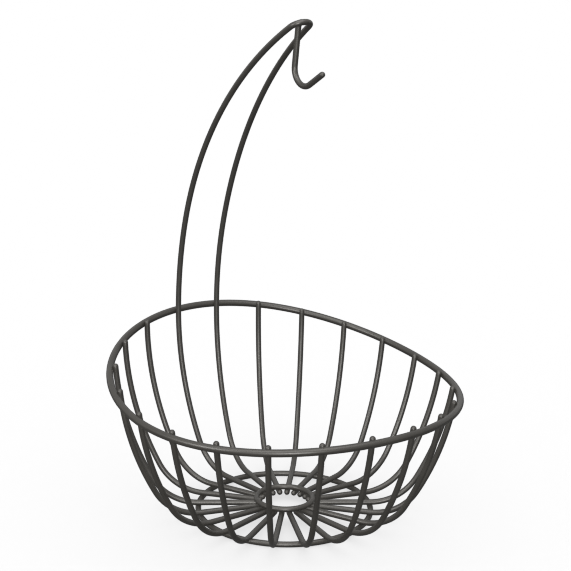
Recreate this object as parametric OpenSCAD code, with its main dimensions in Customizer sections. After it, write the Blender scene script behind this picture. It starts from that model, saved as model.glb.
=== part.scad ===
// Hanging fruit basket welded from round steel wire.
// Every wire is its own solid, and each crossing is a weld where one wire sinks a little into the other.
// The origin is the centre of the foot ring on the table, the hanger stands at the back, towards +Y,
// and the low lip of the bowl faces the front, towards -Y.

/* [Wire] */
// Diameter of the rib wire, which the spokes are the lower ends of
rib_wire = 4; // [3:0.1:4.4]
// Diameter of the heavier rim wire
rim_wire = 5; // [3.5:0.1:7]
// Diameter of the foot ring's wire
foot_wire = 4; // [3:0.1:6]
// Diameter of the centre ring's wire
centre_wire = 4; // [3:0.1:6]
// Diameter of the hanger's wire
hanger_wire_d = 4; // [3:0.1:5]
// Diameter of the hook's wire
hook_wire = 4; // [3:0.1:5]
// Depth by which two crossing wires sink into each other at a weld
weld_sink = 0.3; // [0.1:0.05:0.4]

/* [Bowl] */
// Radius of the foot ring, to the middle of its wire
foot_r = 66; // [55:1:75]
// Radius of the centre ring, to the middle of its wire
centre_r = 21.5; // [19:0.5:30]
// Length of each spoke that shows inside the centre ring
spoke_end = 4; // [2:0.5:4]
// Radius of the bend at the bottom of each rib
bend_r = 40; // [25:1:50]
// Radius of the bowl at the height where its wall stands upright, to the middle of the ribs
bowl_r = 128; // [118:1:145]
// Height at which the wall stands upright
upright_h = 131; // [124:1:150]
// Height of the rim's middle at the front
front_h = 100; // [80:1:115]
// Height of the rim's middle at the two sides
side_h = 100; // [80:1:115]
// Height of the rim's middle at the back
back_h = 131; // [105:1:135]
// Length of each rib above the middle of the rim
rib_above = 4; // [3:0.5:8]

/* [Hanger] */
// Distance that the hanger's sweep brings its crown forward of the upright legs
crown_reach = 140.3; // [120:0.1:170]
// Height of the middle of the wire at the hanger's crown
crown_h = 369; // [340:1:380]
// Radius of the hairpin bend at the crown
crown_r = 8; // [6.5:0.5:10]
// Length over which the legs stay parallel above the upright height
parallel_len = 75; // [40:1:120]

/* [Hook] */
// Radius of the hook's bowl, to the middle of its wire
hook_r = 12; // [8:0.5:18]
// Length of the hook's straight shank
shank_len = 27; // [15:1:45]
// Lean of the shank away from upright, in degrees
shank_lean = 7; // [0:1:15]
// Length of the hook's straight arm
arm_len = 18.5; // [8:0.5:30]
// Rise of the arm above level, in degrees
arm_rise = 30; // [10:1:60]
// Radius of the bend that brings the shank's top to the crown
tail_r = 4; // [2.5:0.5:6]
// Direction from the crown to the end of the hook's tail, in degrees from the front
tail_dir = 185; // [150:5:200]

/* [Hidden] */
rib_count = 20;
// The hanger's two legs take two of the evenly spaced places
place_count = rib_count + 2;
place_step = 360 / place_count;
// Sides of a swept wire, and steps along its curves
sides = 12;
rim_steps = place_count * 6;
bend_steps = 7;
wall_steps = 9;
sweep_steps = 8;
lean_steps = 10;
crown_steps = 12;
dark = [0.2, 0.19, 0.18];

spoke_z = foot_wire + rib_wire / 2 - weld_sink;
centre_z = spoke_z + (rib_wire + centre_wire) / 2 - weld_sink;
rim_gap = (rib_wire + rim_wire) / 2 - weld_sink;
spoke_in = centre_r - spoke_end;

// The wall is one arc that leaves the bend smoothly and stands upright at upright_h
wall_tan = (bowl_r - foot_r - bend_r) / (upright_h - spoke_z - bend_r);
bend_turn = 90 - 2 * atan(wall_tan);
wall_r = (upright_h - spoke_z - bend_r * (1 - cos(bend_turn))) / cos(bend_turn);
wall_mid = bowl_r - wall_r;

// The hanger's legs continue their ribs' walls at this distance back and to each side
leg_back = bowl_r * cos(place_step / 2);
leg_side = bowl_r * sin(place_step / 2);
crown_rise = crown_h - upright_h;
crown_turn = 2 * atan(crown_reach / crown_rise);
sweep_r = crown_rise / sin(crown_turn);
crown_len = sweep_r * crown_turn * PI / 180;
crown_mid = crown_len - crown_r;
// The legs bow together on an arc that meets the hairpin bend smoothly
bow_len = crown_mid - parallel_len;
bow_r = (bow_len * bow_len / (leg_side - crown_r) + crown_r + leg_side) / 2;
bow_turn = atan2(bow_len, bow_r - leg_side);
crown_front = crown_reach - leg_back;

// The hook's outline, in the plane that runs from back to front
tail_reach = (hanger_wire_d + hook_wire) / 2 - weld_sink;
// The tail's flat end reaches this far past its bend, into the crown
tail_end = weld_sink - hanger_wire_d / 2 - tail_reach * cos(tail_dir);
tail_x = crown_front + tail_reach * cos(tail_dir);
tail_z = crown_h + tail_reach * sin(tail_dir) - tail_r;
shank_top_x = tail_x - tail_r * cos(shank_lean);
shank_top_z = tail_z + tail_r * sin(shank_lean);
shank_low_x = shank_top_x - shank_len * sin(shank_lean);
shank_low_z = shank_top_z - shank_len * cos(shank_lean);
hook_x = shank_low_x + hook_r * cos(shank_lean);
hook_z = shank_low_z - hook_r * sin(shank_lean);

// Direction of a place: 0 is the hanger's right leg, the ribs run clockwise from above
function place_angle(i) = 90 - place_step / 2 - i * place_step;

// Height of the rim's middle in a direction, a parabola across the bowl from back to front
function rim_h(angle) = let (c = -sin(angle))
    side_h + (front_h - back_h) / 2 * c + ((front_h + back_h) / 2 - side_h) * c * c;

// Radius of the wall at a height, to the middle of the ribs
function wall_at(h) = wall_mid + sqrt(wall_r * wall_r - (upright_h - h) * (upright_h - h));

function unit(v) = v / norm(v);

// One ring of points square to the wire at each point of its route, turned towards an aim point
function ring_points(p, along, aim, d) = let (
    t = unit(along),
    b = unit(cross(t, aim - p)),
    n = cross(b, t))
    [for (k = [0:sides - 1]) p + d / 2 * (cos(360 * k / sides) * n + sin(360 * k / sides) * b)];

module swept_wire(route, d, aim, closed) {
    count = len(route);
    last = closed ? count - 1 : count - 2;
    rings = [for (j = [0:count - 1])
        let (before = route[closed ? (j + count - 1) % count : max(j - 1, 0)],
            after = route[closed ? (j + 1) % count : min(j + 1, count - 1)])
        ring_points(route[j], after - before, aim, d)];
    points = [for (ring = rings, p = ring) p];
    walls = [for (j = [0:last], k = [0:sides - 1])
        let (a = j * sides, b = (j + 1) % count * sides, m = (k + 1) % sides)
        [a + k, b + k, b + m, a + m]];
    caps = closed ? [] : [
        [for (k = [0:sides - 1]) k],
        [for (k = [sides - 1:-1:0]) (count - 1) * sides + k]];
    polyhedron(points = points, faces = concat(walls, caps), convexity = 10);
}

module ring(r, z, d) {
    translate([0, 0, z])
        rotate_extrude($fn = 128)
            translate([r, 0])
                circle(d = d, $fn = 32);
}

// A spoke, a bend over the foot ring and a wall that ends at top_h
function wall_route(i, top_h) = let (
    c = cos(place_angle(i)),
    s = sin(place_angle(i)),
    wall_turn = asin((top_h - upright_h) / wall_r) + 90 - bend_turn) concat(
    [[spoke_in * c, spoke_in * s, spoke_z]],
    [for (j = [0:bend_steps])
        let (a = bend_turn * j / bend_steps, r = foot_r + bend_r * sin(a))
        [r * c, r * s, spoke_z + bend_r * (1 - cos(a))]],
    [for (j = [1:wall_steps])
        let (a = bend_turn - 90 + wall_turn * j / wall_steps, r = wall_mid + wall_r * cos(a))
        [r * c, r * s, upright_h + wall_r * sin(a)]]);

// A rib's wall is cut off a little above the rim
module rib(i) {
    color(dark)
        swept_wire(wall_route(i, rim_h(place_angle(i)) + rib_above), rib_wire, [0, 0, crown_h], false);
}

module rim_ring() {
    route = [for (j = [0:rim_steps - 1])
        let (angle = place_angle(0) + 360 * j / rim_steps, h = rim_h(angle), r = wall_at(h) + rim_gap)
        [r * cos(angle), r * sin(angle), h]];
    color(dark)
        swept_wire(route, rim_wire, [0, 0, side_h], true);
}

module foot_ring() {
    color(dark)
        ring(foot_r, foot_wire / 2, foot_wire);
}

module centre_ring() {
    color(dark)
        ring(centre_r, centre_z, centre_wire);
}

// A point of the hanger above the upright height, from its length along the sweep and its side distance
function sweep_point(s, side) = let (turn = s / sweep_r * 180 / PI)
    [side, leg_back - sweep_r * (1 - cos(turn)), upright_h + sweep_r * sin(turn)];

// The right leg from its spoke's end up to the start of the hairpin bend
function leg_route() = concat(
    wall_route(0, upright_h),
    [for (j = [1:sweep_steps]) sweep_point(parallel_len * j / sweep_steps, leg_side)],
    [for (j = [1:lean_steps])
        let (a = bow_turn * j / lean_steps)
        sweep_point(parallel_len + bow_r * sin(a), leg_side - bow_r * (1 - cos(a)))]);

module hanger_wire() {
    right_leg = leg_route();
    left_leg = [for (j = [len(right_leg) - 1:-1:0]) [-right_leg[j][0], right_leg[j][1], right_leg[j][2]]];
    crown = [for (j = [1:crown_steps - 1])
        let (a = bow_turn + (180 - 2 * bow_turn) * j / crown_steps)
        sweep_point(crown_mid + crown_r * sin(a), crown_r * cos(a))];
    color(dark)
        swept_wire(concat(right_leg, crown, left_leg), hanger_wire_d, [0, -bowl_r / 2, upright_h], false);
}

// The hook from its tail at the crown, down the shank and round to the end of the arm
function hook_route() = concat(
    [[0, -tail_x - tail_end, tail_z + tail_r]],
    [for (j = [0:crown_steps])
        let (a = 90 + (90 - shank_lean) * j / crown_steps)
        [0, -tail_x - tail_r * cos(a), tail_z + tail_r * sin(a)]],
    [for (j = [0:2 * crown_steps])
        let (a = 180 - shank_lean + (90 + shank_lean + arm_rise) * j / (2 * crown_steps))
        [0, -hook_x - hook_r * cos(a), hook_z + hook_r * sin(a)]],
    [[0, -hook_x - hook_r * sin(arm_rise) - arm_len * cos(arm_rise),
        hook_z - hook_r * cos(arm_rise) + arm_len * sin(arm_rise)]]);

module hook() {
    color(dark)
        swept_wire(hook_route(), hook_wire, [crown_h, -hook_x, hook_z], false);
}

rim_ring();
foot_ring();
centre_ring();
hanger_wire();
hook();
rib(1);  // rib_01
rib(2);  // rib_02
rib(3);  // rib_03
rib(4);  // rib_04
rib(5);  // rib_05
rib(6);  // rib_06
rib(7);  // rib_07
rib(8);  // rib_08
rib(9);  // rib_09
rib(10);  // rib_10
rib(11);  // rib_11
rib(12);  // rib_12
rib(13);  // rib_13
rib(14);  // rib_14
rib(15);  // rib_15
rib(16);  // rib_16
rib(17);  // rib_17
rib(18);  // rib_18
rib(19);  // rib_19
rib(20);  // rib_20
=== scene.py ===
import math
import bpy
import numpy as np
from mathutils import Matrix


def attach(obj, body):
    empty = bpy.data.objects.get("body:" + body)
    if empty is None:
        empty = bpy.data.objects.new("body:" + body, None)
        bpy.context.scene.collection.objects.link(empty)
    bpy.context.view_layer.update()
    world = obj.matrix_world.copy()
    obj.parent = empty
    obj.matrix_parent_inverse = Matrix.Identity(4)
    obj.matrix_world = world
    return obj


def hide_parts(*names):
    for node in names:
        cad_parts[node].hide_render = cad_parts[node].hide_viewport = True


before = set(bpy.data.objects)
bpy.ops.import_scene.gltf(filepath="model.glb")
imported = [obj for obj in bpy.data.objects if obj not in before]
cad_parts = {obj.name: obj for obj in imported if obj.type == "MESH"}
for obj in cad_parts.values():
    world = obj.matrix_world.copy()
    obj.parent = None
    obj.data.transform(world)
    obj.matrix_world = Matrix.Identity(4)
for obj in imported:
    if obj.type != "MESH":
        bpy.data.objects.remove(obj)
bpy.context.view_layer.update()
print("stage: frame loaded")

sizes = dict(foot=0.066, centre=0.0215, spokeEnd=0.004, bend=0.040, bowl=0.128, upright=0.131, front=0.100, side=0.100,
             back=0.131, above=0.004, reach=0.1403, crown=0.369, crownR=0.008, parallel=0.075, ribR=0.002, rimR=0.0025,
             sink=0.0003, places=22)
spokeZ = 2 * sizes["ribR"] + sizes["ribR"] - sizes["sink"]
centreZ = spokeZ + 2 * sizes["ribR"] - sizes["sink"]
rimGap = sizes["ribR"] + sizes["rimR"] - sizes["sink"]
# the wall's arc leaves the bend smoothly: its turn is a right angle less twice the slope's angle
wallTan = (sizes["bowl"] - sizes["foot"] - sizes["bend"]) / (sizes["upright"] - spokeZ - sizes["bend"])
turn = math.pi / 2 - 2 * math.atan(wallTan)
wallR = (sizes["upright"] - spokeZ - sizes["bend"] * (1 - math.cos(turn))) / math.cos(turn)
wallMid = sizes["bowl"] - wallR
step = 2 * math.pi / sizes["places"]


def placeAngle(i):
    return math.pi / 2 - step / 2 - i * step


def rimHeight(angle):
    # a parabola across the bowl, from the back's height to the front's
    c = -np.sin(angle)
    return sizes["side"] + (sizes["front"] - sizes["back"]) / 2 * c + ((sizes["front"] + sizes["back"]) / 2 - sizes["side"]) * c * c


def wallAt(h):
    return wallMid + np.sqrt(wallR ** 2 - (sizes["upright"] - h) ** 2)


def metalGroup():
    group = bpy.data.node_groups.new("powderCoat", "ShaderNodeTree")
    face = group.interface
    face.new_socket("Color", in_out="OUTPUT", socket_type="NodeSocketColor")
    face.new_socket("Roughness", in_out="OUTPUT", socket_type="NodeSocketFloat")
    face.new_socket("Normal", in_out="OUTPUT", socket_type="NodeSocketVector")
    add, join = group.nodes.new, group.links.new
    out, coord = add("NodeGroupOutput"), add("ShaderNodeTexCoord")
    broad, fine = add("ShaderNodeTexNoise"), add("ShaderNodeTexNoise")
    broad.inputs["Scale"].default_value = 60
    fine.inputs["Scale"].default_value = 900
    ramp, rough, bump = add("ShaderNodeMix"), add("ShaderNodeMapRange"), add("ShaderNodeBump")
    ramp.data_type = "RGBA"
    ramp.inputs[6].default_value = (0.027, 0.025, 0.022, 1)
    ramp.inputs[7].default_value = (0.046, 0.043, 0.038, 1)
    rough.inputs["To Min"].default_value = 0.30
    rough.inputs["To Max"].default_value = 0.44
    bump.inputs["Strength"].default_value = 0.06
    bump.inputs["Distance"].default_value = 0.0001
    for noise in (broad, fine):
        join(coord.outputs["Object"], noise.inputs["Vector"])
    join(broad.outputs[0], ramp.inputs[0])
    join(fine.outputs[0], rough.inputs["Value"])
    join(fine.outputs[0], bump.inputs["Height"])
    join(ramp.outputs[2], out.inputs["Color"])
    join(rough.outputs["Result"], out.inputs["Roughness"])
    join(bump.outputs["Normal"], out.inputs["Normal"])
    return group


def metal(name, group):
    mat = bpy.data.materials.new(name)
    mat.use_nodes = True
    shader = mat.node_tree.nodes["Principled BSDF"]
    shader.inputs["Metallic"].default_value = 0.35
    node = mat.node_tree.nodes.new("ShaderNodeGroup")
    node.node_tree = group
    mat.node_tree.links.new(node.outputs["Color"], shader.inputs["Base Color"])
    mat.node_tree.links.new(node.outputs["Roughness"], shader.inputs["Roughness"])
    mat.node_tree.links.new(node.outputs["Normal"], shader.inputs["Normal"])
    return mat


coat = metal("wireCoat", metalGroup())


def tube(route, radius, aim, closed=False, sides=20):
    # rings square to the path, turned towards an aim point; an open end closes with a quarter-round dome
    path = np.asarray(route, float)
    along = np.roll(path, -1, 0) - np.roll(path, 1, 0) if closed else np.gradient(path, axis=0)
    along /= np.linalg.norm(along, axis=1)[:, None]
    radii = np.full(len(path), radius)
    if not closed:
        a = np.linspace(0, math.pi / 2, 6)[1:]
        path = np.vstack([path[0] - along[0] * (np.sin(a)[::-1, None] * radius), path, path[-1] + along[-1] * (np.sin(a)[:, None] * radius)])
        cap = np.maximum(np.cos(a), 0.01) * radius
        along = np.vstack([np.repeat(along[:1], 5, 0), along, np.repeat(along[-1:], 5, 0)])
        radii = np.concatenate([cap[::-1], radii, cap])
    b = np.cross(along, np.asarray(aim, float) - path)
    b /= np.linalg.norm(b, axis=1)[:, None]
    n = np.cross(b, along)
    k = np.linspace(0, 2 * math.pi, sides, endpoint=False)
    points = path[:, None] + radii[:, None, None] * (np.cos(k)[None, :, None] * n[:, None] + np.sin(k)[None, :, None] * b[:, None])
    count = len(path)
    j = np.arange(count if closed else count - 1)[:, None] * sides
    m, q = np.arange(sides)[None], (np.arange(sides)[None] + 1) % sides
    up = (j + sides) % (count * sides)
    faces = np.stack([j + m, j + q, up + q, up + m], -1).reshape(-1, 4).tolist()
    if not closed:
        faces += [list(range(sides))[::-1], list(range((count - 1) * sides, count * sides))]
    return points.reshape(-1, 3), faces


def piece(name, node, swept):
    points, faces = swept
    mesh = bpy.data.meshes.new(name)
    mesh.from_pydata(points.tolist(), [], faces)
    mesh.polygons.foreach_set("use_smooth", [True] * len(mesh.polygons))
    mesh.materials.append(coat)
    obj = bpy.data.objects.new(name, mesh)
    bpy.context.scene.collection.objects.link(obj)
    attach(obj, "root")
    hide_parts(node)


def circle(radius, z, n=192):
    a = np.linspace(0, 2 * math.pi, n, endpoint=False)
    return np.stack([radius * np.cos(a), radius * np.sin(a), np.full(n, z)], 1)


def wall(angle, topH):
    # a spoke, a quarter bend and a wide arc, as radius and height in one upright plane
    a = np.linspace(0, turn, 24)
    t = np.linspace(turn - math.pi / 2, math.asin((topH - sizes["upright"]) / wallR), 40)[1:]
    r = np.concatenate([np.linspace(sizes["centre"] - sizes["spokeEnd"] + sizes["ribR"], sizes["foot"], 12)[:-1],
                        sizes["foot"] + sizes["bend"] * np.sin(a), wallMid + wallR * np.cos(t)])
    z = np.concatenate([np.full(11, spokeZ), spokeZ + sizes["bend"] * (1 - np.cos(a)), sizes["upright"] + wallR * np.sin(t)])
    return np.stack([r * math.cos(angle), r * math.sin(angle), z], 1)


ringAngles = np.linspace(0, 2 * math.pi, 264, endpoint=False)
rimH = rimHeight(ringAngles)
rimRadius = wallAt(rimH) + rimGap
piece("rimRing", "rim_ring", tube(np.stack([rimRadius * np.cos(ringAngles), rimRadius * np.sin(ringAngles), rimH], 1),
                                  sizes["rimR"], (0, 0, sizes["side"]), True))
piece("footRing", "foot_ring", tube(circle(sizes["foot"], 0.002), 0.002, (0, 0, 0.002), True))
piece("centreRing", "centre_ring", tube(circle(sizes["centre"], centreZ), 0.002, (0, 0, centreZ), True))
for i in range(1, 21):
    angle = placeAngle(i)
    top = float(rimHeight(angle)) + sizes["above"] - sizes["ribR"]
    piece("rib%02d" % i, "rib_%02d" % i, tube(wall(angle, top), sizes["ribR"], (0, 0, 0.3)))
print("stage: rings and ribs")

# the leg goes up its wall and an arc swept forward, and bows inward to the hairpin
legBack, legSide = sizes["bowl"] * math.cos(step / 2), sizes["bowl"] * math.sin(step / 2)
# the sweep is the arc that rises to the crown and comes forward by the reach
crownTurn = 2 * math.atan(sizes["reach"] / (sizes["crown"] - sizes["upright"]))
sweepR = (sizes["crown"] - sizes["upright"]) / math.sin(crownTurn)
crownMid = sweepR * crownTurn - sizes["crownR"]
bowLen = crownMid - sizes["parallel"]
bowR = (bowLen ** 2 / (legSide - sizes["crownR"]) + sizes["crownR"] + legSide) / 2
bowTurn = math.atan2(bowLen, bowR - legSide)


def sweepPoints(s, across):
    t = s / sweepR
    return np.stack([across, legBack - sweepR * (1 - np.cos(t)), sizes["upright"] + sweepR * np.sin(t)], 1)


s = np.linspace(0, sizes["parallel"], 24)[1:]
lean = np.linspace(0, bowTurn, 40)[1:]
hair = np.linspace(bowTurn, math.pi / 2, 16)[1:]
leg = np.vstack([wall(placeAngle(0), sizes["upright"]), sweepPoints(s, np.full(23, legSide)),
                 sweepPoints(sizes["parallel"] + bowR * np.sin(lean), legSide - bowR * (1 - np.cos(lean))),
                 sweepPoints(crownMid + sizes["crownR"] * np.sin(hair), sizes["crownR"] * np.cos(hair))])
other = leg[-2::-1] * [-1, 1, 1]
piece("hangerWire", "hanger_wire", tube(np.vstack([leg, other]), 0.002, (0, -0.064, sizes["upright"])))
print("stage: hanger")

hookSizes = dict(r=0.012, shank=0.027, lean=math.radians(7), arm=0.0185, rise=math.radians(30), tail=0.004, aim=math.radians(185))
reach = 0.004 - sizes["sink"]
tailX = sizes["reach"] - legBack + reach * math.cos(hookSizes["aim"])
tailZ = sizes["crown"] + reach * math.sin(hookSizes["aim"]) - hookSizes["tail"]
lowX = tailX - hookSizes["tail"] * math.cos(hookSizes["lean"]) - hookSizes["shank"] * math.sin(hookSizes["lean"])
lowZ = tailZ + hookSizes["tail"] * math.sin(hookSizes["lean"]) - hookSizes["shank"] * math.cos(hookSizes["lean"])
hookX = lowX + hookSizes["r"] * math.cos(hookSizes["lean"])
hookZ = lowZ - hookSizes["r"] * math.sin(hookSizes["lean"])
a = np.linspace(math.pi / 2, math.pi - hookSizes["lean"], 16)
b = np.linspace(math.pi - hookSizes["lean"], 1.5 * math.pi + hookSizes["rise"], 40)
u = np.linspace(0, 1, 10)[1:] * (hookSizes["arm"] - 0.002)
x = np.concatenate([tailX + hookSizes["tail"] * np.cos(a), hookX + hookSizes["r"] * np.cos(b),
                    hookX + hookSizes["r"] * math.sin(hookSizes["rise"]) + u * math.cos(hookSizes["rise"])])
z = np.concatenate([tailZ + hookSizes["tail"] * np.sin(a), hookZ + hookSizes["r"] * np.sin(b),
                    hookZ - hookSizes["r"] * math.cos(hookSizes["rise"]) + u * math.sin(hookSizes["rise"])])
piece("hookWire", "hook", tube(np.stack([np.zeros_like(x), -x, z], 1), 0.002, (0.4, -hookX, hookZ)))
print("stage: hook")

# one large floor catches the soft shadow of the sky light; the lamps cast none
bpy.ops.mesh.primitive_plane_add(size=60)
floor = bpy.context.object
floor.name = "floor"
paper = bpy.data.materials.new("paper")
paper.use_nodes = True
paper.node_tree.nodes["Principled BSDF"].inputs["Base Color"].default_value = (0.08, 0.08, 0.08, 1)
paper.node_tree.nodes["Principled BSDF"].inputs["Roughness"].default_value = 0.9
floor.data.materials.append(paper)
floor.is_shadow_catcher = True

world = bpy.data.worlds.new("studio")
bpy.context.scene.world = world
world.use_nodes = True
world.node_tree.nodes["Background"].inputs["Strength"].default_value = 0.7
world.node_tree.nodes["Background"].inputs["Color"].default_value = (1, 1, 1, 1)
white = world.node_tree.nodes.new("ShaderNodeBackground")
white.inputs["Strength"].default_value = 1.0
white.inputs["Color"].default_value = (1, 1, 1, 1)
rays, mix = world.node_tree.nodes.new("ShaderNodeLightPath"), world.node_tree.nodes.new("ShaderNodeMixShader")
world.node_tree.links.new(rays.outputs["Is Camera Ray"], mix.inputs[0])
world.node_tree.links.new(world.node_tree.nodes["Background"].outputs[0], mix.inputs[1])
world.node_tree.links.new(white.outputs[0], mix.inputs[2])
world.node_tree.links.new(mix.outputs[0], world.node_tree.nodes["World Output"].inputs[0])


def lamp(name, place, power, size, shadow):
    light = bpy.data.lights.new(name, "AREA")
    light.energy, light.size = power, size
    light.use_shadow = shadow
    obj = bpy.data.objects.new(name, light)
    at = Matrix.Translation(place)
    obj.matrix_world = at @ (Matrix.Translation((0, 0, 0.12)).translation - at.translation).to_track_quat("-Z", "Y").to_matrix().to_4x4()
    bpy.context.scene.collection.objects.link(obj)


lamp("topLight", (-0.2, -0.3, 1.3), 18, 1.2, False)
lamp("frontLight", (-1.0, -1.5, 0.35), 26, 0.35, False)
lamp("leftLight", (-1.3, -0.1, 0.7), 12, 0.35, False)

view = dict(place=(-0.5598, -0.7790, 0.4293), turn=-35.57, down=14.7, roll=1.04, lens=85.06)
lensData = bpy.data.cameras.new("photoCamera")
lensData.lens, lensData.sensor_width = view["lens"], 36
camera = bpy.data.objects.new("photoCamera", lensData)
bpy.context.scene.collection.objects.link(camera)
camera.matrix_world = (Matrix.Translation(view["place"]) @ Matrix.Rotation(math.radians(view["turn"]), 4, "Z")
                       @ Matrix.Rotation(math.radians(90 - view["down"]), 4, "X") @ Matrix.Rotation(math.radians(view["roll"]), 4, "Z"))
bpy.context.scene.camera = camera
bpy.context.scene.view_settings.view_transform = "Standard"
print("stage: light and camera")
